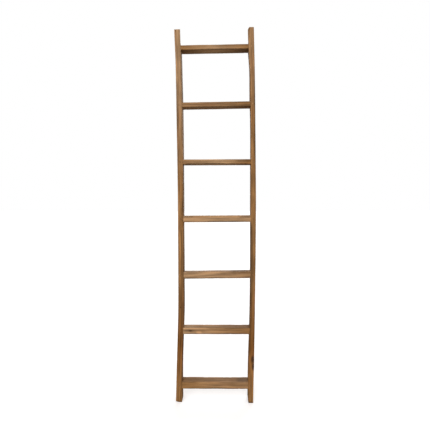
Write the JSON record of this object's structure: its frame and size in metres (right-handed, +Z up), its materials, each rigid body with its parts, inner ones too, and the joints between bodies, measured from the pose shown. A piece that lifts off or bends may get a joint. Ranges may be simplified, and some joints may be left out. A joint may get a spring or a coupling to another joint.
{
  "type": "ladder rack",
  "caption": "Rustic wooden ladder rack with rectangular rungs between bowed rails, leaned on a wall to hang or air things over.",
  "frame": {"origin": "on the ground between the two feet, at the middle of the ladder's box", "axes": "+Z up along the rails, +X across the ladder to the right as seen from its front, -Y out of its front"},
  "size_m": [0.4324, 0.066, 2],
  "materials": {
    "rail_wood": "aged unfinished hardwood, dry and matt, with open grain and worn edges",
    "rung_wood": "aged unfinished hardwood, paler, dry and matt, with open grain and worn edges",
    "peg_wood": "dark hardwood end grain, matt"
  },
  "bodies": {
    "root": {"rail_left": "rail_wood", "rail_right": "rail_wood", "rung_1": "rung_wood", "rung_2": "rung_wood", "rung_3": "rung_wood", "rung_4": "rung_wood", "rung_5": "rung_wood", "rung_6": "rung_wood", "rung_7": "rung_wood", "peg_1_left": "peg_wood", "peg_1_right": "peg_wood", "peg_2_left": "peg_wood", "peg_2_right": "peg_wood", "peg_3_left": "peg_wood", "peg_3_right": "peg_wood", "peg_4_left": "peg_wood", "peg_4_right": "peg_wood", "peg_5_left": "peg_wood", "peg_5_right": "peg_wood", "peg_6_left": "peg_wood", "peg_6_right": "peg_wood", "peg_7_left": "peg_wood", "peg_7_right": "peg_wood"}
  },
  "joints": []
}
